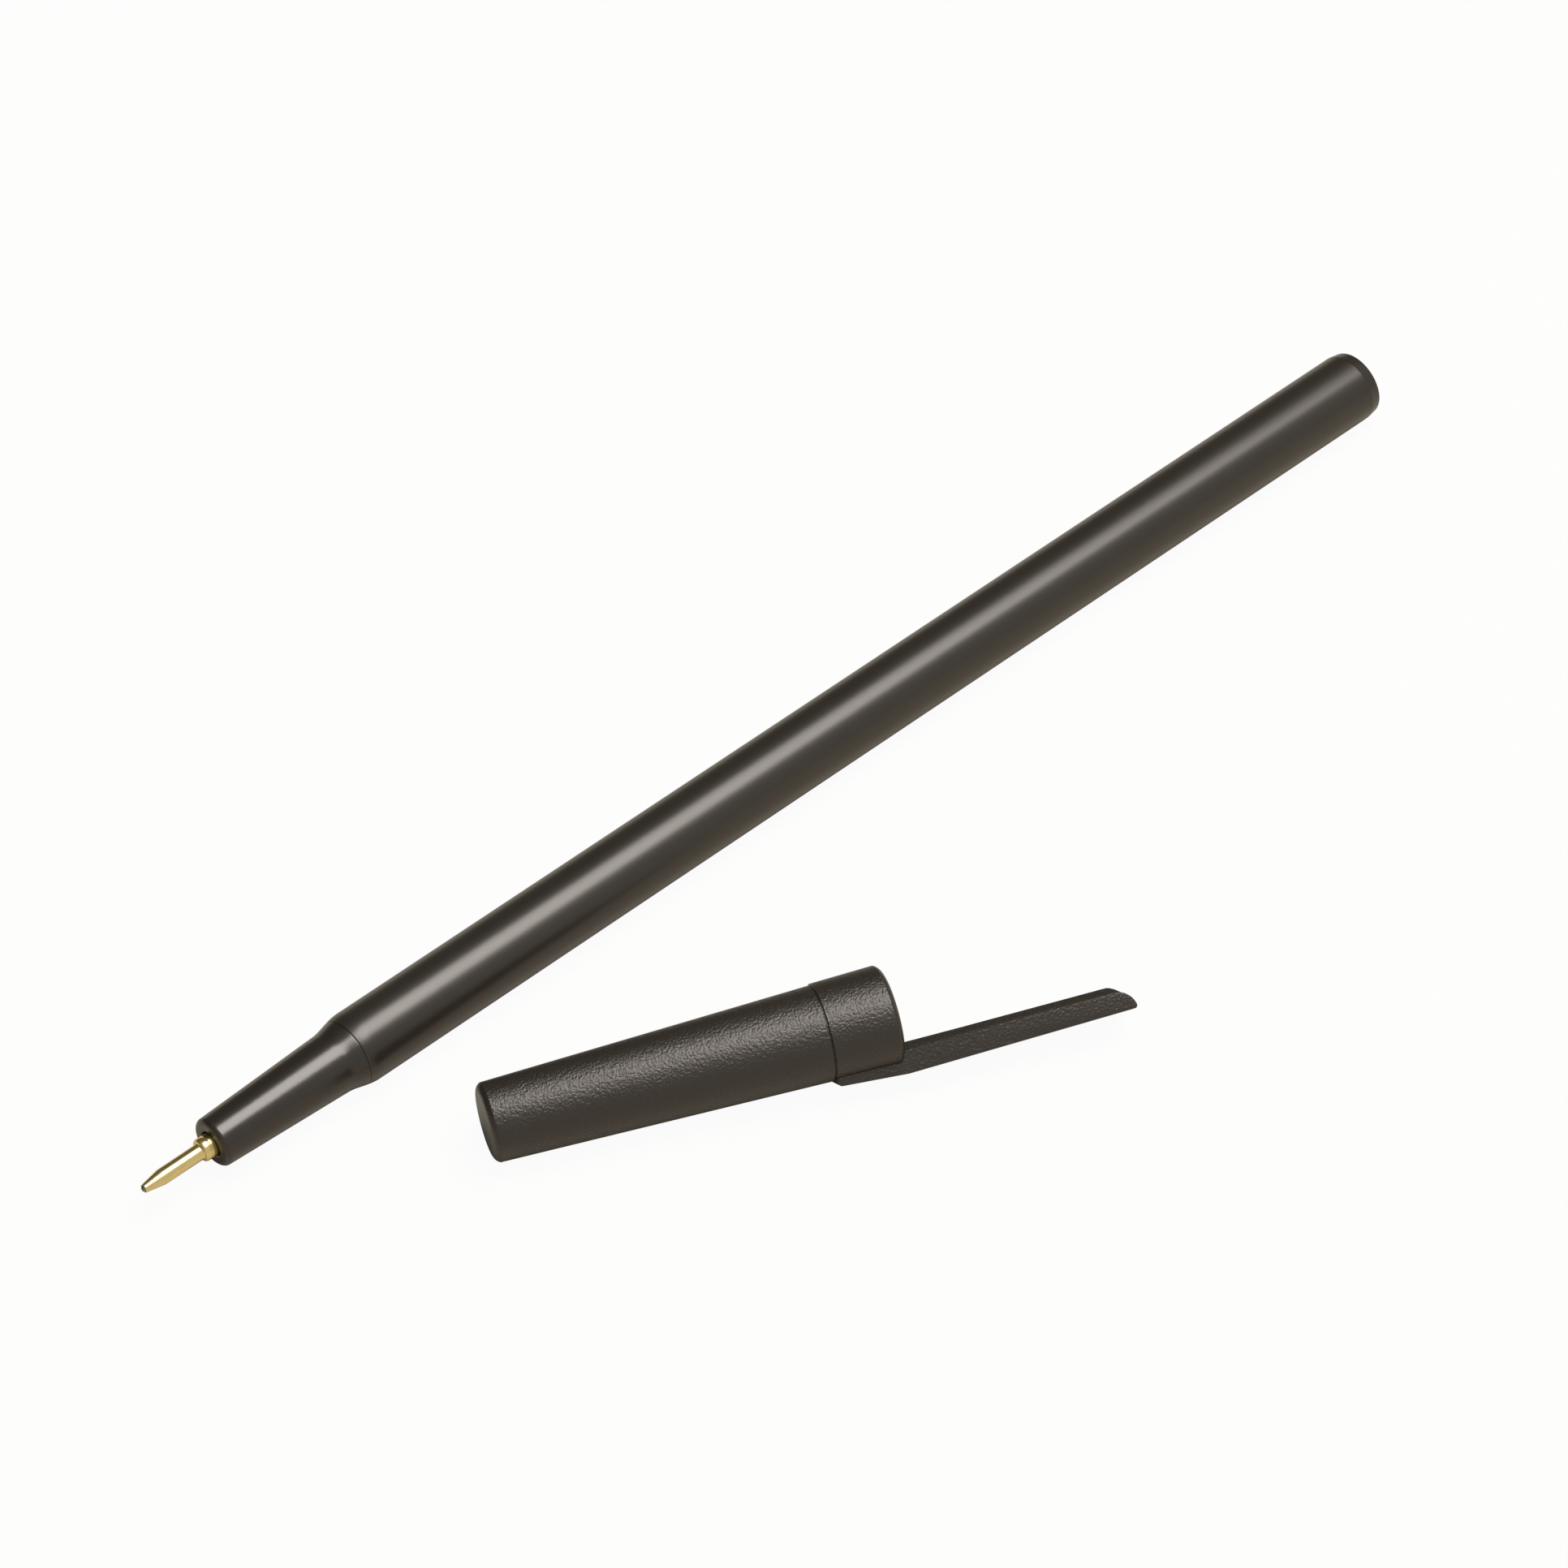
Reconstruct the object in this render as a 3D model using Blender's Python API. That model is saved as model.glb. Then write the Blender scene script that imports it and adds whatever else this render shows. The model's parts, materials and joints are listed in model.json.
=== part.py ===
"""A stick ball pen lying on a table, with its cap pulled off and lying beside it.

Sizes are in metres, +Z is up and the table is z = 0. Every piece of the pen is turned about the pen's
axis, which is local +X of the pen_axis empty, with x = 0 at the point of the writing ball. The cap is
turned about local +X of the cap_axis empty, with x = 0 at its closed end. World +X is the direction of
the cap's mouth, seen from above, and the origin is under the middle of the whole.
"""

import math

import bmesh
import bpy
import numpy as np
from mathutils import Vector

# Clearances between pieces
PUSH_CLEARANCE = 0.00004
SEAT_GAP = 0.00005
BALL_CLEARANCE = 0.00003
COLLAR_CLEARANCE = 0.00006
INK_CLEARANCE = 0.00003
CAP_CLEARANCE = 0.00006

# Barrel
BARREL_DIAMETER = 0.0069
BARREL_WALL = 0.0009
BARREL_LENGTH = 0.1271

# Nose cone, from its front face to the seam where the barrel starts
TIP_REACH = 0.0081
NOSE_FRONT_DIAMETER = 0.00478
NOSE_REAR_DIAMETER = 0.00581
NOSE_TAPER_LENGTH = 0.0134
SHOULDER_LENGTH = 0.00325
SEAM_IN_SHOULDER = 0.0019
NOSE_EDGE_RADIUS = 0.00035
NOSE_FRONT_WALL = 0.0014
NOSE_MOUTH_DIAMETER = 0.0031
NOSE_MOUTH_DEPTH = 0.0006
NOSE_SPIGOT_LENGTH = 0.0080
SPIGOT_LEAD = 0.0004

# End plug
PLUG_FLANGE_LENGTH = 0.0012
PLUG_TAPER_DIAMETER = 0.00658
PLUG_EDGE_RADIUS = 0.00025
PLUG_SPIGOT_LENGTH = 0.0070
PLUG_WALL = 0.0009

# Writing ball and the turned tip that holds it
BALL_DIAMETER = 0.0007
BALL_SHOW = 0.0002
LIP_WALL = 0.00006
TIP_CONE_LENGTH = 0.0020
NEEDLE_DIAMETER = 0.0015
COLLAR_DIAMETER = 0.0022
COLLAR_SHOW = 0.00105
COLLAR_EDGE_RADIUS = 0.00025
SHANK_LENGTH = 0.0050
SHANK_LEAD = 0.0003
INK_CHANNEL_DIAMETER = 0.00024
SHANK_BORE_DIAMETER = 0.0009

# Ink tube and what it holds
INK_TUBE_DIAMETER = 0.0030
INK_TUBE_WALL = 0.00055
INK_TUBE_LENGTH = 0.1120
INK_LENGTH = 0.0880
FOLLOWER_LENGTH = 0.0060

# Cap, from its closed end to its mouth
CAP_LENGTH = 0.0375
CAP_END_DIAMETER = 0.00727
CAP_SEAM_DIAMETER = 0.00876
CAP_MOUTH_DIAMETER = 0.00925
CAP_END_EDGE_RADIUS = 0.0007
CAP_RIM_RADIUS = 0.0006
CAP_END_WALL = 0.0012
BAND_LENGTH = 0.0065
BAND_STEP = 0.00013
CAP_GRIP_LENGTH = 0.0120
CAP_BORE_END_DIAMETER = 0.0058
CAP_MOUTH_LEAD = 0.0003

# Pocket clip, moulded in one with the cap. Heights are measured from the cap's axis
CLIP_LENGTH = 0.0215
CLIP_WIDTH = 0.0044
CLIP_ROOT_HEIGHT = 0.00477
CLIP_MOUTH_HEIGHT = 0.00523
CLIP_END_HEIGHT = 0.00486
CLIP_ROOT_RADIUS = 0.0005
CLIP_NOSE_RADIUS = 0.0020
CLIP_TIP_RADIUS = 0.0003
CLIP_EDGE_RADIUS = 0.0002
CLIP_RELIEF = 0.00019

# How the two lie on the table: the pen's tip measured from the cap's closed end
PEN_TIP_BEHIND = 0.03048
PEN_TIP_ASIDE = 0.00181
PEN_YAW = math.radians(25.16)
CAP_ROLL = math.radians(41.5)

# Roundness of the solids
SEGMENTS = 64
FINE_SEGMENTS = 32
BALL_RINGS = 12
ARC_STEPS = 6
SHOULDER_STEPS = 10
SMOOTH_ANGLE = math.radians(30)
MERGE = 1e-8

# Radii and places that follow from the sizes above
barrel_radius = BARREL_DIAMETER / 2
barrel_bore = barrel_radius - BARREL_WALL
nose_front = NOSE_FRONT_DIAMETER / 2
nose_rear = NOSE_REAR_DIAMETER / 2
ball_radius = BALL_DIAMETER / 2
needle_radius = NEEDLE_DIAMETER / 2
collar_radius = COLLAR_DIAMETER / 2
tube_radius = INK_TUBE_DIAMETER / 2
tube_bore = tube_radius - INK_TUBE_WALL
spigot_radius = barrel_bore - PUSH_CLEARANCE

nose_face_x = TIP_REACH
shoulder_x = nose_face_x + NOSE_TAPER_LENGTH
shoulder_end_x = shoulder_x + SHOULDER_LENGTH
seam_x = shoulder_x + SEAM_IN_SHOULDER
barrel_end_x = seam_x + BARREL_LENGTH
collar_x = nose_face_x - COLLAR_SHOW
collar_rear_x = nose_face_x + NOSE_FRONT_WALL
tube_x = collar_rear_x + SEAT_GAP
shank_end_x = collar_rear_x + SHANK_LENGTH
ink_x = shank_end_x + SEAT_GAP
follower_x = ink_x + INK_LENGTH + SEAT_GAP

cap_seam_x = CAP_LENGTH - BAND_LENGTH
cap_bore = barrel_radius + CAP_CLEARANCE
clip_bore = cap_bore + CLIP_RELIEF
clip_end_x = CAP_LENGTH + CLIP_LENGTH


def clear_scene():
    for old in list(bpy.data.objects):
        bpy.data.objects.remove(old, do_unlink=True)


def plastic(name, colour, roughness):
    return material(name, colour, roughness, 0.0)


def material(name, colour, roughness, metallic):
    made = bpy.data.materials.new(name)
    made.use_nodes = True
    shader = made.node_tree.nodes["Principled BSDF"]
    shader.inputs["Base Color"].default_value = (*colour, 1.0)
    shader.inputs["Roughness"].default_value = roughness
    shader.inputs["Metallic"].default_value = metallic
    return made


def empty(name):
    made = bpy.data.objects.new(name, None)
    bpy.context.scene.collection.objects.link(made)
    return made


def arc(centre, radius, start, end, steps=ARC_STEPS):
    """Points on a circle about centre, from one angle to another in degrees, 0 along +x."""
    angles = np.radians(np.linspace(start, end, steps + 1))
    return [(centre[0] + radius * math.cos(a), centre[1] + radius * math.sin(a)) for a in angles]


def add_object(name, mesh_data, finish, parent):
    """Turns a finished bmesh into a named, smooth object under its parent."""
    bmesh.ops.remove_doubles(mesh_data, verts=mesh_data.verts, dist=MERGE)
    bmesh.ops.recalc_face_normals(mesh_data, faces=mesh_data.faces)
    mesh = bpy.data.meshes.new(name)
    mesh_data.to_mesh(mesh)
    mesh_data.free()
    mesh.shade_smooth()
    mesh.set_sharp_from_angle(angle=SMOOTH_ANGLE)
    made = bpy.data.objects.new(name, mesh)
    if finish:
        mesh.materials.append(finish)
    made.parent = parent
    bpy.context.scene.collection.objects.link(made)
    return made


def turned(name, outline, finish, parent, segments=SEGMENTS):
    """Spins a closed outline of (x, radius) points once round the local X axis."""
    made = bmesh.new()
    points = [made.verts.new((x, radius, 0.0)) for x, radius in outline]
    pairs = zip(points, points[1:] + points[:1])
    edges = [made.edges.new(pair) for pair in pairs if pair[0].co.y + pair[1].co.y > 0]
    bmesh.ops.spin(
        made,
        geom=points + edges,
        cent=(0, 0, 0),
        axis=(1, 0, 0),
        angle=math.tau,
        steps=segments,
        use_merge=True,
    )
    return add_object(name, made, finish, parent)


def cutter(made):
    """Marks an object as a tool that only cuts."""
    made.hide_render = True
    made.display_type = "WIRE"
    return made


def boolean(target, other, operation):
    step = target.modifiers.new(operation.lower(), "BOOLEAN")
    step.object = cutter(other)
    step.operation = operation
    step.solver = "EXACT"


def shoulder_radius(x):
    """The nose's straight taper, blended into the barrel by a smooth S-curve over the shoulder."""
    taper = nose_front + (nose_rear - nose_front) * (x - nose_face_x) / NOSE_TAPER_LENGTH
    share = min(max((x - shoulder_x) / SHOULDER_LENGTH, 0.0), 1.0)
    return taper + (barrel_radius - taper) * share * share * (3 - 2 * share)


def shoulder_points(start, end):
    return [(x, shoulder_radius(x)) for x in np.linspace(start, end, SHOULDER_STEPS + 1)]


def make_barrel(finish, parent):
    front = seam_x + SEAT_GAP
    outline = [
        *shoulder_points(front, shoulder_end_x),
        (barrel_end_x, barrel_radius),
        (barrel_end_x, barrel_bore),
        (front, barrel_bore),
    ]
    return turned("barrel_tube", outline, finish, parent)


def make_nose(finish, parent):
    spigot_end = seam_x + NOSE_SPIGOT_LENGTH
    collar_hole = collar_radius + COLLAR_CLEARANCE
    tube_hole = tube_radius + PUSH_CLEARANCE
    edge_x = nose_face_x + NOSE_EDGE_RADIUS
    edge_centre = (edge_x, shoulder_radius(edge_x) - NOSE_EDGE_RADIUS)
    outline = [
        (nose_face_x, NOSE_MOUTH_DIAMETER / 2),
        *arc(edge_centre, NOSE_EDGE_RADIUS, 180, 90),
        *shoulder_points(shoulder_x, seam_x),
        (seam_x, spigot_radius),
        (spigot_end - SPIGOT_LEAD, spigot_radius),
        (spigot_end, spigot_radius - SPIGOT_LEAD),
        (spigot_end, tube_hole),
        (collar_rear_x, tube_hole),
        (collar_rear_x, collar_hole),
        (nose_face_x + NOSE_MOUTH_DEPTH, collar_hole),
    ]
    return turned("nose_cone", outline, finish, parent)


def make_end_plug(finish, parent):
    flange_x = barrel_end_x + SEAT_GAP
    face_x = flange_x + PLUG_FLANGE_LENGTH
    spigot_end = barrel_end_x - PLUG_SPIGOT_LENGTH
    hollow = spigot_radius - PLUG_WALL
    edge = PLUG_EDGE_RADIUS
    edge_centre = (face_x - edge, PLUG_TAPER_DIAMETER / 2 - edge)
    outline = [
        (spigot_end, hollow),
        (spigot_end, spigot_radius - SPIGOT_LEAD),
        (spigot_end + SPIGOT_LEAD, spigot_radius),
        (flange_x, spigot_radius),
        (flange_x, barrel_radius),
        *arc(edge_centre, edge, 90, 0),
        (face_x, 0.0),
        (face_x - PLUG_WALL, 0.0),
        (face_x - PLUG_WALL, hollow),
    ]
    return turned("end_plug", outline, finish, parent)


def make_tip(finish, parent):
    """The turned tip: ball socket, cone, needle, collar and the shank that the ink tube grips."""
    socket = ball_radius + BALL_CLEARANCE
    channel = INK_CHANNEL_DIAMETER / 2
    shank = tube_bore - PUSH_CLEARANCE
    back_angle = math.degrees(math.asin(channel / socket))
    lip_angle = 180 - math.degrees(math.acos((ball_radius - BALL_SHOW) / socket))
    lip = socket * math.sin(math.radians(lip_angle)) + LIP_WALL
    cone_end = BALL_SHOW + TIP_CONE_LENGTH
    edge = COLLAR_EDGE_RADIUS
    outline = [
        (BALL_SHOW, lip),
        (cone_end, needle_radius),
        (collar_x, needle_radius),
        *arc((collar_x + edge, collar_radius - edge), edge, 180, 90, 3),
        (collar_rear_x, collar_radius),
        (collar_rear_x, shank),
        (shank_end_x - SHANK_LEAD, shank),
        (shank_end_x, shank - SHANK_LEAD),
        (shank_end_x, SHANK_BORE_DIAMETER / 2),
        (cone_end, SHANK_BORE_DIAMETER / 2),
        (cone_end, channel),
        *arc((ball_radius, 0.0), socket, back_angle, lip_angle, 2 * ARC_STEPS),
    ]
    return turned("tip_body", outline, finish, parent, FINE_SEGMENTS)


def make_ball(finish, parent):
    """The writing ball, with its own origin at its centre, which it rolls about."""
    outline = arc((0.0, 0.0), ball_radius, 180, 0, BALL_RINGS)
    outline[0] = (-ball_radius, 0.0)
    outline[-1] = (ball_radius, 0.0)
    made = turned("writing_ball", outline, finish, parent, FINE_SEGMENTS)
    made.location = (ball_radius, 0.0, 0.0)
    return made


def make_ink_tube(finish, parent):
    tube_end = tube_x + INK_TUBE_LENGTH
    outline = [
        (tube_x, tube_radius),
        (tube_end, tube_radius),
        (tube_end, tube_bore),
        (tube_x, tube_bore),
    ]
    return turned("ink_tube", outline, finish, parent, FINE_SEGMENTS)


def make_filling(name, start, length, finish, parent):
    """A plug of ink or grease that fills the ink tube's bore over a length."""
    radius = tube_bore - INK_CLEARANCE
    outline = [(start, 0.0), (start, radius), (start + length, radius), (start + length, 0.0)]
    return turned(name, outline, finish, parent, FINE_SEGMENTS)


def make_clip_blank(parent):
    """The clip before its underside is hollowed: a side outline, carried across its width. Its end curves up
    from the underside in one wide arc, which a small arc at the tip joins to the outer face."""
    inside = cap_bore / 2
    root = (cap_seam_x + CLIP_ROOT_RADIUS, CLIP_ROOT_HEIGHT - CLIP_ROOT_RADIUS)
    tip = (clip_end_x - CLIP_TIP_RADIUS, CLIP_END_HEIGHT - CLIP_TIP_RADIUS)
    underside = math.sqrt(clip_bore**2 - (CLIP_WIDTH / 2) ** 2)
    drop = tip[1] - underside - CLIP_NOSE_RADIUS
    back = math.sqrt((CLIP_NOSE_RADIUS - CLIP_TIP_RADIUS) ** 2 - drop**2)
    nose = (tip[0] - back, tip[1] - drop)
    meet = math.degrees(math.atan2(drop, back))
    outline = [
        (cap_seam_x, inside),
        *arc(root, CLIP_ROOT_RADIUS, 180, 90),
        (CAP_LENGTH, CLIP_MOUTH_HEIGHT),
        *arc(tip, CLIP_TIP_RADIUS, 90, meet),
        *arc(nose, CLIP_NOSE_RADIUS, meet, -90)[1:],
        (nose[0], inside),
    ]
    made = bmesh.new()
    face = made.faces.new([made.verts.new((x, -CLIP_WIDTH / 2, height)) for x, height in outline])
    swept = bmesh.ops.extrude_face_region(made, geom=[face])["geom"]
    for point in swept:
        if isinstance(point, bmesh.types.BMVert):
            point.co.y += CLIP_WIDTH
    bmesh.ops.recalc_face_normals(made, faces=made.faces)
    lengthwise = [edge for edge in made.edges if abs(edge.verts[0].co.y - edge.verts[1].co.y) < MERGE]
    outer = [edge for edge in lengthwise if min(v.co.z for v in edge.verts) > underside + CLIP_EDGE_RADIUS]
    bmesh.ops.bevel(made, geom=outer, offset=CLIP_EDGE_RADIUS, segments=2, profile=0.5, affect="EDGES")
    return add_object("clip_blank", made, None, parent)


def make_cap(finish, parent):
    """The cap with its stepped band and its clip, hollowed from the mouth by one long core."""
    end = CAP_END_DIAMETER / 2
    seam = CAP_SEAM_DIAMETER / 2
    mouth = CAP_MOUTH_DIAMETER / 2
    outline = [
        (0.0, 0.0),
        *arc((CAP_END_EDGE_RADIUS, end - CAP_END_EDGE_RADIUS), CAP_END_EDGE_RADIUS, 180, 90),
        (cap_seam_x, seam),
        (cap_seam_x, seam + BAND_STEP),
        *arc((CAP_LENGTH - CAP_RIM_RADIUS, mouth - CAP_RIM_RADIUS), CAP_RIM_RADIUS, 90, 0),
        (CAP_LENGTH, 0.0),
    ]
    made = turned("cap", outline, finish, parent)
    boolean(made, make_clip_blank(parent), "UNION")
    past_clip = clip_end_x + CLIP_NOSE_RADIUS
    core = [
        (CAP_END_WALL, 0.0),
        (CAP_END_WALL, CAP_BORE_END_DIAMETER / 2),
        (CAP_LENGTH - CAP_GRIP_LENGTH, cap_bore),
        (CAP_LENGTH - CAP_MOUTH_LEAD, cap_bore),
        (CAP_LENGTH, clip_bore),
        (past_clip, clip_bore),
        (past_clip, 0.0),
    ]
    boolean(made, turned("cap_core", core, None, parent), "DIFFERENCE")
    return made


def cap_tilt():
    """The cap lies on the edge of its closed end and on one outer corner of its clip at the mouth."""
    half = CLIP_WIDTH / 2 - CLIP_EDGE_RADIUS
    corner = (CLIP_MOUTH_HEIGHT - CLIP_EDGE_RADIUS) * math.cos(CAP_ROLL) + half * math.sin(CAP_ROLL)
    rise = corner + CLIP_EDGE_RADIUS - CAP_END_DIAMETER / 2
    return math.atan2(rise, CAP_LENGTH - CAP_END_EDGE_RADIUS)


def corners(made):
    """The world positions of an object's points, as its modifiers leave it."""
    shown = made.evaluated_get(bpy.context.evaluated_depsgraph_get())
    points = np.array([point.co for point in shown.data.vertices])
    turn = np.array(shown.matrix_world)
    return points @ turn[:3, :3].T + turn[:3, 3]


def lay_on_table(pen, cap_axis, cap, pieces, whole):
    """Puts pen and cap on z = 0 as they lie, then the whole's middle over the origin."""
    pen.location = (-PEN_TIP_BEHIND, PEN_TIP_ASIDE, barrel_radius)
    pen.rotation_euler = (0.0, 0.0, PEN_YAW)
    cap_axis.rotation_euler = (math.pi - CAP_ROLL, -cap_tilt(), 0.0)
    bpy.context.view_layer.update()
    cap_axis.location.z -= corners(cap)[:, 2].min()
    bpy.context.view_layer.update()
    points = np.vstack([corners(piece) for piece in pieces])
    low, high = points.min(axis=0), points.max(axis=0)
    whole.location = Vector((-(low[0] + high[0]) / 2, -(low[1] + high[1]) / 2, -low[2]))
    bpy.context.view_layer.update()


def main():
    clear_scene()
    barrel_plastic = plastic("satin_black_plastic", (0.028, 0.025, 0.021), 0.42)
    nose_plastic = plastic("gloss_black_plastic", (0.024, 0.022, 0.020), 0.24)
    cap_plastic = plastic("textured_black_plastic", (0.036, 0.031, 0.026), 0.55)
    tube_plastic = plastic("clear_tube_plastic", (0.72, 0.72, 0.68), 0.30)
    grease = plastic("follower_grease", (0.75, 0.68, 0.45), 0.35)
    ink = plastic("black_ink", (0.010, 0.010, 0.014), 0.20)
    brass = material("turned_brass", (0.65, 0.46, 0.17), 0.22, 1.0)
    carbide = material("polished_carbide", (0.42, 0.42, 0.44), 0.15, 1.0)

    whole = empty("ball_pen")
    pen = empty("pen_axis")
    cap_axis = empty("cap_axis")
    pen.parent = whole
    cap_axis.parent = whole
    cap = make_cap(cap_plastic, cap_axis)
    pieces = [
        make_barrel(barrel_plastic, pen),
        make_nose(nose_plastic, pen),
        make_end_plug(barrel_plastic, pen),
        make_tip(brass, pen),
        make_ball(carbide, pen),
        make_ink_tube(tube_plastic, pen),
        make_filling("ink_column", ink_x, INK_LENGTH, ink, pen),
        make_filling("grease_follower", follower_x, FOLLOWER_LENGTH, grease, pen),
        cap,
    ]
    lay_on_table(pen, cap_axis, cap, pieces, whole)


main()
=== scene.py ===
"""Looks of the stick ball pen and its cap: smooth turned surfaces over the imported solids, the plastics and
the brass, an overhead light bank and the photograph's camera. Sizes are in metres."""

import json
import math

import bpy
import numpy as np
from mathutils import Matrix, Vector


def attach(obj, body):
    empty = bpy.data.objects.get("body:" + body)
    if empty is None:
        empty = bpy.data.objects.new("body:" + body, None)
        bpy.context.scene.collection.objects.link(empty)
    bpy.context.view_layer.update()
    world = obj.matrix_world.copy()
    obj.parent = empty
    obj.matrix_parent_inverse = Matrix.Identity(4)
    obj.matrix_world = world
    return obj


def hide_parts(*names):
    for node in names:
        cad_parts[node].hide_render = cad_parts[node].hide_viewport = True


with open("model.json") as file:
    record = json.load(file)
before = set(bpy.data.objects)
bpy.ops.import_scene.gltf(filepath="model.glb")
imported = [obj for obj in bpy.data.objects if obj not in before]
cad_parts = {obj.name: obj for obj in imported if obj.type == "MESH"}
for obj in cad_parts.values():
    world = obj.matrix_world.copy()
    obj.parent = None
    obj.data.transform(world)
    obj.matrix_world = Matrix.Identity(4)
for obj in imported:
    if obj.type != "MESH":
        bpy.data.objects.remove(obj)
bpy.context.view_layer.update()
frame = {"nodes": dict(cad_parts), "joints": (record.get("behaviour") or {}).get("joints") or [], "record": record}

# Pen sizes along its axis, from the point of the ball
TIP_REACH = 0.0081
NOSE_LIP = 0.00034
NOSE_TAPER_LENGTH = 0.0134
SHOULDER_LENGTH = 0.00325
SEAM_IN_SHOULDER = 0.0019
BARREL_LENGTH = 0.1271
PLUG_FLANGE_LENGTH = 0.0012
COLLAR_SHOW = 0.00125
COLLAR_LENGTH = 0.00245
COLLAR_GROOVE_PLACE = 0.00068
TIP_CONE_LENGTH = 0.0020
BALL_SHOW = 0.0002

# Pen radii
BARREL_RADIUS = 0.00345
BARREL_BORE = 0.00255
NOSE_FRONT_RADIUS = 0.00239
NOSE_REAR_RADIUS = 0.002905
NOSE_EDGE_RADIUS = 0.00050
NOSE_MOUTH_RADIUS = 0.00130
NOSE_MOUTH_DEPTH = 0.0002
COLLAR_HOLE_RADIUS = 0.00116
PLUG_TAPER_RADIUS = 0.00329
PLUG_EDGE_RADIUS = 0.00025
PLUG_EDGE_DEGREES = 82
BALL_RADIUS = 0.00035
LIP_RADIUS = 0.00040
NEEDLE_RADIUS = 0.00075
COLLAR_RADIUS = 0.0011
COLLAR_EDGE_RADIUS = 0.00028
COLLAR_GROOVE_RADIUS = 0.00013
BALL_CLEARANCE = 0.00003
SEAM_GAP = 0.00003
SEAM_EDGE_RADIUS = 0.00003
REAR_SEAM_EDGE_RADIUS = 0.000015

# Cap and clip sizes, from the closed end
CAP_LENGTH = 0.0375
BAND_LENGTH = 0.0065
CAP_END_RADIUS = 0.003635
CAP_SEAM_RADIUS = 0.00438
CAP_MOUTH_RADIUS = 0.004625
CAP_END_EDGE_RADIUS = 0.00087
CAP_RIM_RADIUS = 0.00095
CAP_EDGE_DEGREES = 65
CAP_END_WALL = 0.0012
CAP_GRIP_LENGTH = 0.0120
CAP_BORE_RADIUS = 0.00351
CAP_BORE_END_RADIUS = 0.0029
CAP_MOUTH_LEAD = 0.0003
BAND_STEP = 0.00013
PARTING_GROOVE_DEPTH = 0.00006
PARTING_GROOVE_WIDTH = 0.00010
CLIP_LENGTH = 0.0215
CLIP_HALF_WIDTH = 0.0022
CLIP_ROOT_HEIGHT = 0.00477
CLIP_MOUTH_HEIGHT = 0.00523
CLIP_END_HEIGHT = 0.00486
CLIP_ROOT_RADIUS = 0.0005
CLIP_NOSE_RADIUS = 0.0020
CLIP_TIP_RADIUS = 0.0003
CLIP_EDGE_RADIUS = 0.0002
CLIP_UNDER_RADIUS = 0.00008
CLIP_BORE_RADIUS = 0.0037

# Stations along the pen and along the cap, worked out from the sizes
NOSE_FACE_X = TIP_REACH
NOSE_FRONT_X = NOSE_FACE_X - NOSE_LIP
SHOULDER_X = NOSE_FACE_X + NOSE_TAPER_LENGTH
SEAM_X = SHOULDER_X + SEAM_IN_SHOULDER
SHOULDER_END_X = SHOULDER_X + SHOULDER_LENGTH
BARREL_END_X = SEAM_X + BARREL_LENGTH
CAP_SEAM_X = CAP_LENGTH - BAND_LENGTH
CLIP_END_X = CAP_LENGTH + CLIP_LENGTH

# Fineness of the surfaces
TURN_SEGMENTS = 192
FINE_SEGMENTS = 96
ARC_POINTS = 9
SEAM_POINTS = 4
FILLET_POINTS = 5
SHOULDER_POINTS = 24
BALL_POINTS = 33
ROOT_POINTS, RAMP_POINTS, FACE_POINTS, UNDER_POINTS = 12, 14, 24, 24
CLIP_FLAT_COLUMNS = 21
CLIP_CORNER_COLUMNS = 6
HOLD = 0.00004
LONG_STRETCH = 6 * HOLD
SHARP_ANGLE = math.radians(40)

# Camera, found by fitting the pen's outline in the photograph
PHOTO_PIXELS = 1932
FOCAL_PIXELS = 8826
SENSOR_MM = 36.0
CAMERA_HEADING = math.radians(17.674)
CAMERA_ELEVATION = math.radians(46.0)
CAMERA_DISTANCE = 0.6615
CAMERA_TARGET = Vector((-0.000234, 0.002695, 0.0))
CAMERA_NEAR = 0.01

# Plastics and fillings: two tones, lowest and highest roughness, grain in millimetres, grain depth
# Barrel: a soft, even highlight
SATIN = (("#1d1812", "#221e16"), (0.27, 0.35), 0.16, 0.000003)
# Nose: a narrower and brighter highlight
GLOSS = (("#1c1812", "#201b14"), (0.22, 0.28), 0.30, 0.000002)
# Cap: a sandy grain that breaks the highlight into specks
ERODED = (("#1a150e", "#1f1a12"), (0.33, 0.43), 0.24, 0.000085)
# Ink tube: milky white
NATURAL = (("#c9c8c0", "#d8d7d0"), (0.25, 0.35), 0.5, 0.000002)
# Ink: wet black
INK = (("#0d0d10", "#15151a"), (0.10, 0.16), 0.8, 0.000001)
# Grease behind the ink: pale amber gel
GREASE = (("#c8b98a", "#d6c998"), (0.20, 0.30), 0.6, 0.000003)
STYRENE_IOR = 1.59
WARM_GLEAM = "#fff6ee"
GRAIN_DETAIL = 2.0
FLOW_MM = 4.0
FLOW_DETAIL = 3.0

# Metals: two tones, roughness, and the sizes of their patterns in millimetres
BRASS_TONES = ("#e4ca86", "#f0da9c")
BRASS_ROUGHNESS = 0.20
TOOL_RING_MM = 0.12
TOOL_RING_DEPTH = 0.000001
TARNISH_MM = 0.9
CARBIDE_TONES = ("#55524c", "#a5a39e")
CARBIDE_ROUGHNESS = 0.18
INK_FILM_MM = 0.25

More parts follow.
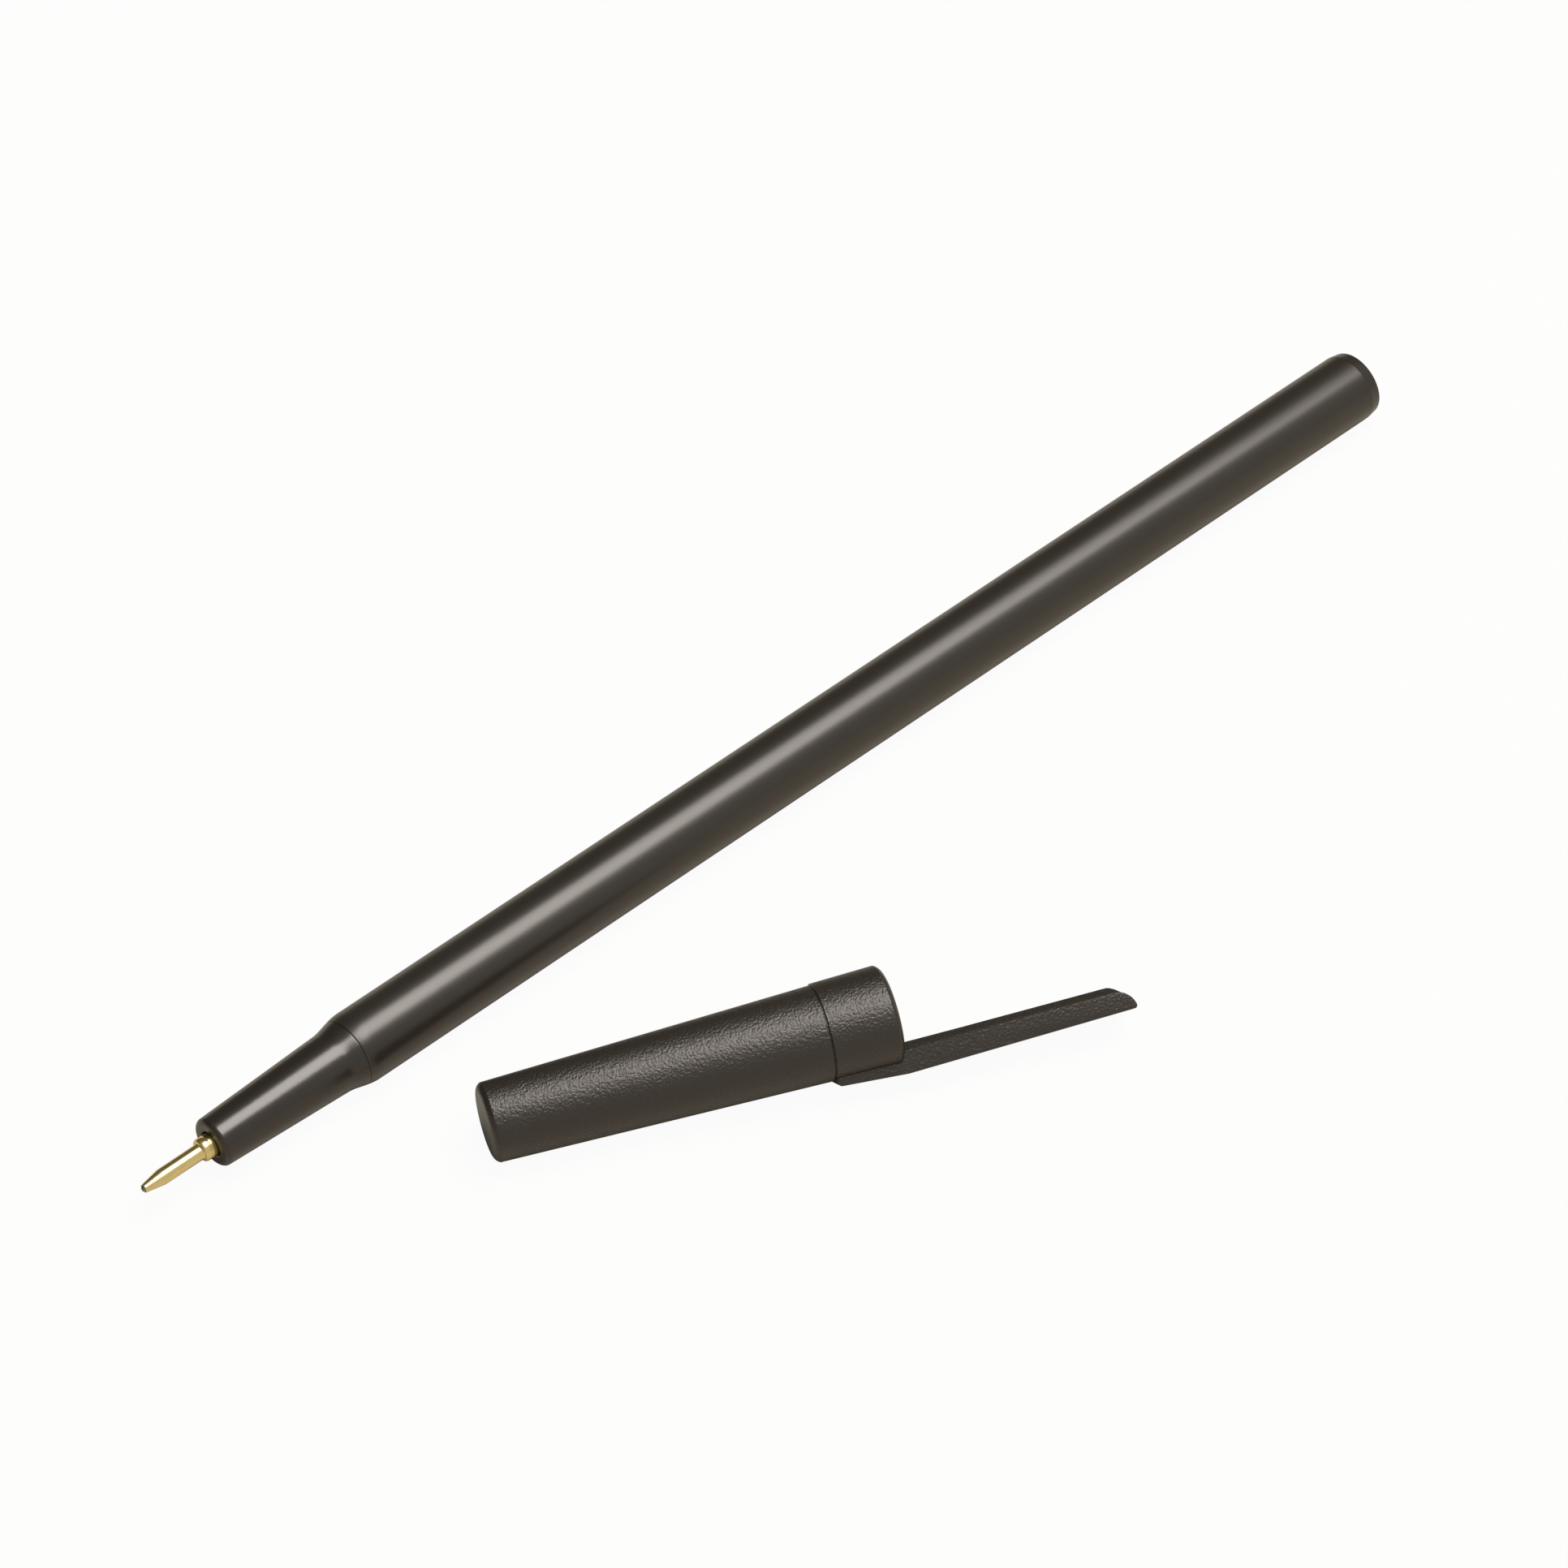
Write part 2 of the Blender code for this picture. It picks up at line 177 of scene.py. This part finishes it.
# Stage and light, placed in the camera's own heading: x right, y away, z up
FLOOR_REACH = 3.0
FLOOR_DROP = 0.00002
FLOOR_TONE = "#b8b0a1"
FLOOR_ROUGHNESS = 0.9
FLOOR_WHITE_SHARE = 0.95
ROOM_PALE, ROOM_DIM = 0.60, 0.11
ROOM_PALE_SIDE = (0.45, -0.68, 0.58)
ROOM_FADE = (-0.35, 0.85)
BANK_PLACE = (0.258, 0.045, 0.80)
BANK_TURN = math.radians(20)
BANK_SIZE = (0.64, 0.54)
BANK_POWER = 9.5

# Shapes


def unit(vector):
    """The vector scaled to length one."""
    return np.asarray(vector, float) / np.linalg.norm(vector)


def arc(centre, radius, start, end, points=ARC_POINTS):
    """Points on a circle about centre, from one angle to another in degrees, 0 along +x."""
    angle = np.radians(np.linspace(start, end, points))
    return np.stack([centre[0] + radius * np.cos(angle), centre[1] + radius * np.sin(angle)], axis=1)


def outline(*pieces):
    """Joins points and runs of points, with a holding point near each end of every long straight stretch,
    so that smooth shading stays inside the rounded corners."""
    points = np.vstack([np.atleast_2d(piece) for piece in pieces])
    step = np.diff(points, axis=0)
    length = np.linalg.norm(step, axis=1)
    long = length > LONG_STRETCH
    share = np.where(long, HOLD / np.maximum(length, HOLD), 0.0)[:, None]
    after = points[:-1] + share * step
    before = points[1:] - share * step
    stacked = np.stack([points[:-1], after, before], axis=1)
    kept = np.stack([np.ones_like(long), long, long], axis=1)
    return np.vstack([stacked[kept], points[-1:]])


def grid_mesh(name, points, closed_rows, material, axis_frame):
    """A closed mesh from an array of points [row, column, xyz] in an axis frame. Columns run once round and
    join up. Rows join up too if closed_rows, and else the first and the last row are poles. Each point
    keeps its place along the axis, for patterns that follow it."""
    origin, along, side, up = axis_frame
    rows, columns = points.shape[:2]
    world = origin + points @ np.stack([along, side, up])
    index = np.arange(rows * columns).reshape(rows, columns)
    if not closed_rows:
        index[0] = index[0, 0]
        index[-1] = index[-1, 0]
    down = np.roll(index, -1, axis=0) if closed_rows else index[1:]
    here = index if closed_rows else index[:-1]
    right, down_right = np.roll(here, -1, axis=1), np.roll(down, -1, axis=1)
    quads = np.stack([here, down, down_right, right], axis=2).reshape(-1, 4)
    flat = world.reshape(-1, 3)
    corner = flat[quads]
    volume = np.einsum("ij,ij->i", corner[:, 0], np.cross(corner[:, 1], corner[:, 2])).sum()
    volume += np.einsum("ij,ij->i", corner[:, 0], np.cross(corner[:, 2], corner[:, 3])).sum()
    if volume < 0:
        quads = quads[:, ::-1]
    used, compact = np.unique(quads, return_inverse=True)
    quads = compact.reshape(-1, 4)
    faces = [list(dict.fromkeys(quad)) for quad in quads.tolist()]
    mesh = bpy.data.meshes.new(name)
    mesh.from_pydata(flat[used].tolist(), [], faces)
    mesh.shade_smooth()
    mesh.set_sharp_from_angle(angle=SHARP_ANGLE)
    layer = mesh.attributes.new("along_axis", "FLOAT", "POINT")
    layer.data.foreach_set("value", points[..., 0].reshape(-1)[used].astype(np.float32))
    mesh.materials.append(material)
    made = bpy.data.objects.new(name, mesh)
    bpy.context.scene.collection.objects.link(made)
    return made


def turned(name, profile, closed, material, axis_frame, segments=TURN_SEGMENTS):
    """A profile of (x, r) points turned once round the axis: (x, r cos a, r sin a)."""
    angle = np.linspace(0, math.tau, segments, endpoint=False)
    x, radius = profile[:, :1], profile[:, 1:]
    points = np.stack([x + 0 * angle, radius * np.cos(angle), radius * np.sin(angle)], axis=2)
    return grid_mesh(name, points, closed, material, axis_frame)


def smooth_step(share):
    """An S-curve from 0 to 1 that starts and ends level."""
    share = np.clip(share, 0, 1)
    return share * share * (3 - 2 * share)


# Pieces of the pen


def shoulder(start, end, points=SHOULDER_POINTS):
    """The nose's straight taper blended into the barrel by an S-curve, from one station to another."""
    x = np.linspace(start, end, points)
    taper = NOSE_FRONT_RADIUS + (NOSE_REAR_RADIUS - NOSE_FRONT_RADIUS) * (x - NOSE_FACE_X) / NOSE_TAPER_LENGTH
    blend = smooth_step((x - SHOULDER_X) / SHOULDER_LENGTH)
    return np.stack([x, taper + (BARREL_RADIUS - taper) * blend], axis=1)


def barrel(material, pen):
    """Tube: the last of the shoulder, the straight barrel, the joint with the end plug and the bore."""
    front = SEAM_X + SEAM_GAP
    lip = shoulder(front, SHOULDER_END_X)
    edge, rear_edge = SEAM_EDGE_RADIUS, REAR_SEAM_EDGE_RADIUS
    profile = outline(
        (front, BARREL_BORE),
        (front, lip[0, 1] - edge),
        (front + edge / 2, lip[0, 1] - edge / 4),
        lip[1:],
        arc((BARREL_END_X - rear_edge, BARREL_RADIUS - rear_edge), rear_edge, 90, 0, SEAM_POINTS),
        (BARREL_END_X, BARREL_BORE),
        (front + edge, BARREL_BORE),
    )
    return turned("barrel_skin", profile, True, material, pen)


def nose(material, pen):
    """Turned nose: mouth round the collar, rounded front edge, long taper, and shoulder up to the seam."""
    corner_x = NOSE_FRONT_X + NOSE_EDGE_RADIUS
    corner_r = shoulder(corner_x, corner_x, 1)[0, 1] - NOSE_EDGE_RADIUS
    flare = shoulder(SHOULDER_X, SEAM_X)
    edge = SEAM_EDGE_RADIUS
    inner_x = NOSE_FRONT_X + NOSE_MOUTH_DEPTH
    profile = outline(
        (inner_x, COLLAR_HOLE_RADIUS),
        (NOSE_FRONT_X + edge, NOSE_MOUTH_RADIUS - edge / 2),
        (NOSE_FRONT_X, NOSE_MOUTH_RADIUS + edge),
        arc((corner_x, corner_r), NOSE_EDGE_RADIUS, 180, 90),
        flare[:-1],
        (SEAM_X - edge / 2, flare[-1, 1] - edge / 4),
        (SEAM_X, flare[-1, 1] - edge),
        (SEAM_X, BARREL_BORE - edge),
        (inner_x + 2 * edge, COLLAR_HOLE_RADIUS),
    )
    return turned("nose_skin", profile, True, material, pen)


def end_plug(material, pen):
    """Button that closes the barrel: a slight taper from the seam, a rounded edge and a flat end face."""
    front = BARREL_END_X
    face_x = front + PLUG_FLANGE_LENGTH
    edge, rear_edge = PLUG_EDGE_RADIUS, REAR_SEAM_EDGE_RADIUS
    profile = outline(
        (front, 0.0),
        (front, BARREL_RADIUS - rear_edge),
        (front + rear_edge / 2, BARREL_RADIUS - rear_edge / 4),
        arc((face_x - edge, PLUG_TAPER_RADIUS - edge), edge, PLUG_EDGE_DEGREES, 0),
        (face_x, 0.0),
    )
    return turned("end_plug_skin", profile, False, material, pen)


def brass_tip(material, pen):
    """Turned tip: lip round the ball, cone, needle, and a collar with a rounded edge and a groove."""
    collar_x = NOSE_FRONT_X - COLLAR_SHOW
    collar_end = collar_x + COLLAR_LENGTH
    cone_end = BALL_SHOW + TIP_CONE_LENGTH
    socket = BALL_RADIUS + BALL_CLEARANCE
    lip_angle = 180 - math.degrees(math.acos((BALL_RADIUS - BALL_SHOW) / socket))
    edge = COLLAR_EDGE_RADIUS
    profile = outline(
        arc((BALL_RADIUS, 0.0), socket, 0, lip_angle),
        (BALL_SHOW, LIP_RADIUS - SEAM_EDGE_RADIUS / 2),
        (BALL_SHOW + SEAM_EDGE_RADIUS / 2, LIP_RADIUS),
        (cone_end, NEEDLE_RADIUS),
        arc((collar_x - edge / 2, NEEDLE_RADIUS + edge / 2), edge / 2, 270, 360, FILLET_POINTS),
        arc((collar_x + edge, COLLAR_RADIUS - edge), edge, 180, 90),
        arc((collar_x + COLLAR_GROOVE_PLACE, COLLAR_RADIUS), COLLAR_GROOVE_RADIUS, 180, 360),
        (collar_end, COLLAR_RADIUS),
        (collar_end, 0.0),
    )
    return turned("brass_tip", profile, False, material, pen, FINE_SEGMENTS)


def writing_ball(material, pen):
    """Sphere: a half circle turned round the axis."""
    profile = arc((BALL_RADIUS, 0.0), BALL_RADIUS, 180, 0, BALL_POINTS)
    profile[[0, -1], 1] = 0.0
    return turned("ball_skin", profile, False, material, pen, FINE_SEGMENTS)


# Cap with its clip, as one surface


def straight(start, end, points):
    """Evenly spaced points on a straight line, without the last one."""
    share = np.linspace(0, 1, points, endpoint=False)[:, None]
    return np.asarray(start) + share * (np.asarray(end) - np.asarray(start))


def cap_body():
    """The cap's turned profile from the middle of its closed end to the groove at the seam. The rounding of
    the end stops short of a full quarter turn, so that it meets the side at a faint edge."""
    groove, half = PARTING_GROOVE_DEPTH, PARTING_GROOVE_WIDTH / 2
    edge = CAP_END_EDGE_RADIUS
    centre_r = CAP_END_RADIUS - edge * math.sin(math.radians(CAP_EDGE_DEGREES))
    return outline(
        (0.0, 0.0),
        arc((edge, centre_r), edge, 180, 180 - CAP_EDGE_DEGREES),
        (CAP_SEAM_X - 2 * half, CAP_SEAM_RADIUS),
        (CAP_SEAM_X - half, CAP_SEAM_RADIUS - groove),
        (CAP_SEAM_X, CAP_SEAM_RADIUS - groove),
    )


def cap_band():
    """The turned profile of the band, from the seam over the rounded rim to the edge of the bore, with as
    many points on each stretch as clip_outline has there. The rim meets the side at a faint edge."""
    half = PARTING_GROOVE_WIDTH / 2
    band = CAP_SEAM_RADIUS + BAND_STEP
    centre_r = CAP_MOUTH_RADIUS - CAP_RIM_RADIUS * math.sin(math.radians(CAP_EDGE_DEGREES))
    rim = arc((CAP_LENGTH - CAP_RIM_RADIUS, centre_r), CAP_RIM_RADIUS, CAP_EDGE_DEGREES, 0,
              FACE_POINTS + 2 * ARC_POINTS)
    held = (rim[0, 0] - HOLD, CAP_MOUTH_RADIUS)
    return np.vstack([
        straight((CAP_SEAM_X + half / 2, band - 2 * half), (CAP_SEAM_X + 2 * half, band), ROOT_POINTS),
        straight((CAP_SEAM_X + 2 * half, band), held, RAMP_POINTS - 1),
        [held],
        rim,
        straight(rim[-1], (CAP_LENGTH, CLIP_BORE_RADIUS), UNDER_POINTS + 1)[1:],
        [(CAP_LENGTH, CLIP_BORE_RADIUS)],
    ])


def cap_bore():
    """The turned profile of the bore, from the mouth's lead-in to the middle of its inner end."""
    return outline(
        (CAP_LENGTH - CAP_MOUTH_LEAD, CAP_BORE_RADIUS),
        (CAP_LENGTH - CAP_GRIP_LENGTH, CAP_BORE_RADIUS),
        (CAP_END_WALL, CAP_BORE_END_RADIUS),
        (CAP_END_WALL, 0.0),
    )


def clip_outline(width, inset):
    """The clip's side outline (x, height) at a distance from its middle plane, drawn in by inset where its
    long edges are rounded: root, ramp over the band, outer face, small tip arc, wide arc of the end, and
    the hollow underside, which is part of a circle about the cap's axis."""
    root = (CAP_SEAM_X + CLIP_ROOT_RADIUS, CLIP_ROOT_HEIGHT - CLIP_ROOT_RADIUS)
    tip = (CLIP_END_X - CLIP_TIP_RADIUS, CLIP_END_HEIGHT - CLIP_TIP_RADIUS)
    drop = tip[1] - math.sqrt(CLIP_BORE_RADIUS**2 - CLIP_HALF_WIDTH**2) - CLIP_NOSE_RADIUS
    back = math.sqrt((CLIP_NOSE_RADIUS - CLIP_TIP_RADIUS) ** 2 - drop**2)
    centre = (tip[0] - back, tip[1] - drop)
    meet = math.degrees(math.atan2(drop, back))
    under_share = CLIP_UNDER_RADIUS / CLIP_EDGE_RADIUS
    under = math.sqrt(CLIP_BORE_RADIUS**2 - width**2) + inset * under_share
    nose_radius = CLIP_NOSE_RADIUS - inset * np.linspace(1.0, under_share, ARC_POINTS + 1)
    turn = -math.degrees(math.asin(min((centre[1] - under) / nose_radius[-1], 1.0)))
    foot = math.sqrt((CAP_SEAM_RADIUS - PARTING_GROOVE_WIDTH) ** 2 - width**2)
    root_arc = arc(root, CLIP_ROOT_RADIUS - inset, 180, 90, ROOT_POINTS - 1)
    tip_arc = arc(tip, CLIP_TIP_RADIUS - inset, 90, meet)
    mouth = (CAP_LENGTH, CLIP_MOUTH_HEIGHT - inset)
    nose_arc = arc(centre, nose_radius, meet, turn, ARC_POINTS + 1)[1:]
    return np.vstack([
        [(CAP_SEAM_X + inset, foot)],
        root_arc,
        straight(root_arc[-1], mouth, RAMP_POINTS + 1)[1:],
        straight(mouth, tip_arc[0], FACE_POINTS),
        tip_arc,
        nose_arc,
        straight(nose_arc[-1], (CAP_LENGTH, under), UNDER_POINTS + 1)[1:],
        [(CAP_LENGTH, under)],
    ])


def cap_with_clip(material, cap):
    """One closed surface. Outside the clip each column is the turned profile at its own angle. Across the
    clip each column keeps its distance from the clip's middle plane, and its band run follows the clip's
    side outline out and back, so the clip grows out of the rim. Height is along local +z, width along +y."""
    body, band, bore = cap_body(), cap_band(), cap_bore()
    profile = np.vstack([body, band, bore])
    rows = slice(len(body), len(body) + len(band))
    flat_half = CLIP_HALF_WIDTH - CLIP_EDGE_RADIUS
    flat = np.linspace(flat_half, -flat_half, CLIP_FLAT_COLUMNS)
    corner = np.radians(np.linspace(90, 0, CLIP_CORNER_COLUMNS, endpoint=False))
    round_width = CLIP_HALF_WIDTH - CLIP_EDGE_RADIUS * (1 - np.sin(corner))
    round_inset = CLIP_EDGE_RADIUS * (1 - np.cos(corner))
    widths = np.concatenate([round_width, flat, -round_width[::-1]])
    insets = np.concatenate([round_inset, 0 * flat, round_inset[::-1]])

    radius = profile[:, 1:]
    reach = np.maximum(radius, CAP_BORE_END_RADIUS)
    edge_angle = np.arcsin(CLIP_HALF_WIDTH / reach)
    share = np.linspace(0, 1, TURN_SEGMENTS)
    around = -edge_angle - share * (math.tau - 2 * edge_angle)
    angle = np.concatenate([np.arcsin(widths / reach), around], axis=1)
    points = np.stack([profile[:, :1] + 0 * angle, radius * np.sin(angle), radius * np.cos(angle)], axis=2)
    for column, (width, inset) in enumerate(zip(widths, insets)):
        side = clip_outline(width, inset)
        points[rows, column] = np.stack([side[:, 0], np.full(len(side), width), side[:, 1]], axis=1)
    return grid_mesh("cap_skin", points, False, material, cap)


# Materials


def linear(code):
    """An sRGB hex colour as linear red, green, blue and alpha."""
    value = np.array([int(code[i:i + 2], 16) for i in (1, 3, 5)]) / 255
    value = np.where(value <= 0.04045, value / 12.92, ((value + 0.055) / 1.055) ** 2.4)
    return (*value.tolist(), 1.0)


def add(tree, kind, links=None, **settings):
    """Adds one node: settings are its properties or, by socket name, its values. Links feed its sockets."""
    node = tree.nodes.new(kind)
    for key, value in settings.items():
        if hasattr(node, key):
            setattr(node, key, value)
        else:
            node.inputs[key.replace("_", " ")].default_value = value
    for socket, source in (links or {}).items():
        tree.links.new(source, node.inputs[socket])
    return node


def new_material(name):
    """An empty material with its node tree and its shader."""
    material = bpy.data.materials.new(name)
    material.use_nodes = True
    tree = material.node_tree
    return material, tree, tree.nodes["Principled BSDF"]


def per_metre(millimetres):
    """The texture scale that gives a pattern of this size."""
    return 1000.0 / millimetres


def noise(tree, size_mm, detail):
    """A noise pattern of this size, fixed to the object."""
    place = add(tree, "ShaderNodeTexCoord").outputs["Object"]
    made = add(tree, "ShaderNodeTexNoise", {"Vector": place}, Scale=per_metre(size_mm), Detail=detail)
    return made.outputs["Fac"]


def two_tones(tree, shader, factor, tones):
    """Feeds the shader a colour that varies from the first tone to the second with the factor."""
    tone = add(tree, "ShaderNodeMix", {"Factor": factor}, data_type="RGBA")
    tone.inputs["A"].default_value = linear(tones[0])
    tone.inputs["B"].default_value = linear(tones[1])
    tree.links.new(tone.outputs["Result"], shader.inputs["Base Color"])


def bumps(tree, shader, height, depth):
    """Gives the shader a relief of this depth from a pattern of heights."""
    relief = add(tree, "ShaderNodeBump", {"Height": height}, Distance=depth)
    tree.links.new(relief.outputs["Normal"], shader.inputs["Normal"])


def moulded_plastic(name, tones, roughness, grain_mm, grain_depth):
    """Moulded plastic, or a filling as smooth: grain from the mould wall breaks the highlight into specks,
    the more the deeper it is, and slow changes of tone are the flow of the melt."""
    material, tree, shader = new_material(name)
    grain = noise(tree, grain_mm, GRAIN_DETAIL)
    rough = add(tree, "ShaderNodeMapRange", {"Value": grain})
    rough.inputs["To Min"].default_value, rough.inputs["To Max"].default_value = roughness
    tree.links.new(rough.outputs["Result"], shader.inputs["Roughness"])
    bumps(tree, shader, grain, grain_depth)
    two_tones(tree, shader, noise(tree, FLOW_MM, FLOW_DETAIL), tones)
    shader.inputs["IOR"].default_value = STYRENE_IOR
    shader.inputs["Specular Tint"].default_value = linear(WARM_GLEAM)
    return material


def turned_brass():
    """Free-cutting brass, turned and tumbled: faint rings from the tool run round it and soften its
    reflections, and a trace of tarnish varies the yellow."""
    material, tree, shader = new_material("turned_brass")
    along = add(tree, "ShaderNodeAttribute", attribute_name="along_axis").outputs["Fac"]
    rings = add(tree, "ShaderNodeTexNoise", {"W": along}, noise_dimensions="1D")
    rings.inputs["Scale"].default_value = per_metre(TOOL_RING_MM)
    bumps(tree, shader, rings.outputs["Fac"], TOOL_RING_DEPTH)
    two_tones(tree, shader, noise(tree, TARNISH_MM, FLOW_DETAIL), BRASS_TONES)
    shader.inputs["Metallic"].default_value = 1.0
    shader.inputs["Roughness"].default_value = BRASS_ROUGHNESS
    return material


def lapped_carbide():
    """Sintered carbide, lapped to a dark mirror with a trace of ink on it."""
    material, tree, shader = new_material("lapped_carbide")
    two_tones(tree, shader, noise(tree, INK_FILM_MM, GRAIN_DETAIL), CARBIDE_TONES)
    shader.inputs["Metallic"].default_value = 1.0
    shader.inputs["Roughness"].default_value = CARBIDE_ROUGHNESS
    return material


# Stage, light and camera


def heading(vector):
    """Turns a direction or a place given in the camera's own heading into the frame."""
    c, s = math.cos(CAMERA_HEADING), math.sin(CAMERA_HEADING)
    x, y, z = vector
    return Vector((c * x + s * y, -s * x + c * y, z))


def floor():
    """Plain pale floor. The camera sees it nearly white, with a trace of the object's shadow kept."""
    reach, low = FLOOR_REACH, -FLOOR_DROP
    corners = [(-reach, -reach, low), (reach, -reach, low), (reach, reach, low), (-reach, reach, low)]
    mesh = bpy.data.meshes.new("floor")
    mesh.from_pydata(corners, [], [(0, 1, 2, 3)])
    material, tree, shader = new_material("white_paper_sweep")
    shader.inputs["Base Color"].default_value = linear(FLOOR_TONE)
    shader.inputs["Roughness"].default_value = FLOOR_ROUGHNESS
    path = add(tree, "ShaderNodeLightPath")
    share = add(tree, "ShaderNodeMath", {0: path.outputs["Is Camera Ray"]}, operation="MULTIPLY")
    share.inputs[1].default_value = FLOOR_WHITE_SHARE
    white = add(tree, "ShaderNodeEmission", Strength=1.0)
    feeds = {0: share.outputs["Value"], 1: shader.outputs["BSDF"], 2: white.outputs["Emission"]}
    mixed = add(tree, "ShaderNodeMixShader", feeds)
    tree.links.new(mixed.outputs["Shader"], tree.nodes["Material Output"].inputs["Surface"])
    mesh.materials.append(material)
    made = bpy.data.objects.new("floor", mesh)
    bpy.context.scene.collection.objects.link(made)


def light_bank(along):
    """A soft level panel overhead, facing down, turned a little from the pen's axis."""
    data = bpy.data.lights.new("light_bank", "AREA")
    data.shape = "RECTANGLE"
    data.size, data.size_y = BANK_SIZE
    data.energy = BANK_POWER
    lamp = bpy.data.objects.new("light_bank", data)
    lamp.location = heading(BANK_PLACE)
    lamp.rotation_euler = (0.0, 0.0, math.atan2(along[1], along[0]) + BANK_TURN)
    bpy.context.scene.collection.objects.link(lamp)


def room():
    """Grey studio: palest at half height to the right of the camera, dim on the opposite side. The camera
    itself sees white."""
    world = bpy.data.worlds.new("studio")
    bpy.context.scene.world = world
    world.use_nodes = True
    tree = world.node_tree
    direction = add(tree, "ShaderNodeTexCoord").outputs["Generated"]
    facing = add(tree, "ShaderNodeVectorMath", {0: direction}, operation="DOT_PRODUCT")
    facing.inputs[1].default_value = heading(ROOM_PALE_SIDE).normalized()
    level = add(tree, "ShaderNodeMapRange", {"Value": facing.outputs["Value"]})
    level.interpolation_type = "SMOOTHSTEP"
    level.inputs["From Min"].default_value, level.inputs["From Max"].default_value = ROOM_FADE
    level.inputs["To Min"].default_value, level.inputs["To Max"].default_value = ROOM_DIM, ROOM_PALE
    by_camera = add(tree, "ShaderNodeLightPath").outputs["Is Camera Ray"]
    seen = add(tree, "ShaderNodeMix", {"Factor": by_camera, "A": level.outputs["Result"]})
    seen.inputs["B"].default_value = 1.0
    sky = tree.nodes["Background"]
    sky.inputs["Color"].default_value = (1.0, 1.0, 1.0, 1.0)
    tree.links.new(seen.outputs["Result"], sky.inputs["Strength"])


def camera():
    """The photograph's camera, aimed at the target from the fitted heading, elevation and distance."""
    data = bpy.data.cameras.new("camera")
    data.sensor_width = SENSOR_MM
    data.lens = SENSOR_MM * FOCAL_PIXELS / PHOTO_PIXELS
    data.clip_start = CAMERA_NEAR
    made = bpy.data.objects.new("camera", data)
    away = heading((0.0, -math.cos(CAMERA_ELEVATION), math.sin(CAMERA_ELEVATION)))
    made.location = CAMERA_TARGET + CAMERA_DISTANCE * away
    made.rotation_euler = (-away).to_track_quat("-Z", "Y").to_euler()
    bpy.context.scene.collection.objects.link(made)
    bpy.context.scene.camera = made


# Where the pen and the cap lie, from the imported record


def axis_frames():
    """Origin and axes (along, side, up) of the pen, from the ball's point, and of the cap, from its end."""
    mounts = {mount["name"]: mount for mount in frame["record"]["mounts"]}
    ball = next(joint for joint in frame["joints"] if joint["child"] == "ball")
    along = unit(mounts["end_face"]["axis"])
    up = np.array([0.0, 0.0, 1.0])
    pen = (np.array(ball["pos_m"]) - BALL_RADIUS * along, along, np.cross(up, along), up)
    cap_along = -unit(mounts["cap_end_face"]["axis"])
    clip = np.array(mounts["clip_outer_face"]["axis"])
    clip = unit(clip - (clip @ cap_along) * cap_along)
    cap = (np.array(mounts["cap_end_face"]["pos_m"]), cap_along, np.cross(clip, cap_along), clip)
    return pen, cap


def dress(pen, cap):
    """Puts each surface over its solid, on the solid's body and with its finish."""
    satin = moulded_plastic("satin_moulded_styrene", *SATIN)
    gloss = moulded_plastic("smooth_moulded_styrene", *GLOSS)
    eroded = moulded_plastic("spark_eroded_styrene", *ERODED)
    brass, carbide = turned_brass(), lapped_carbide()
    made = [
        (barrel(satin, pen), "pen", "barrel_tube", "barrel_plastic"),
        (nose(gloss, pen), "pen", "nose_cone", "nose_plastic"),
        (end_plug(satin, pen), "pen", "end_plug", "barrel_plastic"),
        (brass_tip(brass, pen), "pen", "tip_body", "tip_brass"),
        (writing_ball(carbide, pen), "ball", "writing_ball", "ball_carbide"),
        (cap_with_clip(eroded, cap), "cap", "cap", "cap_plastic"),
    ]
    for piece, body, node, slot in made:
        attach(piece, body)
        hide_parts(node)
    tube = moulded_plastic("extruded_polypropylene", *NATURAL)
    ink = moulded_plastic("oil_ink", *INK)
    grease = moulded_plastic("follower_grease", *GREASE)
    for node, material in (("ink_tube", tube), ("ink_column", ink), ("grease_follower", grease)):
        frame["nodes"][node].data.materials.clear()
        frame["nodes"][node].data.materials.append(material)


pen_frame, cap_frame = axis_frames()
dress(pen_frame, cap_frame)
floor()
light_bank(pen_frame[1])
room()
camera()
bpy.context.scene.view_settings.view_transform = "Standard"
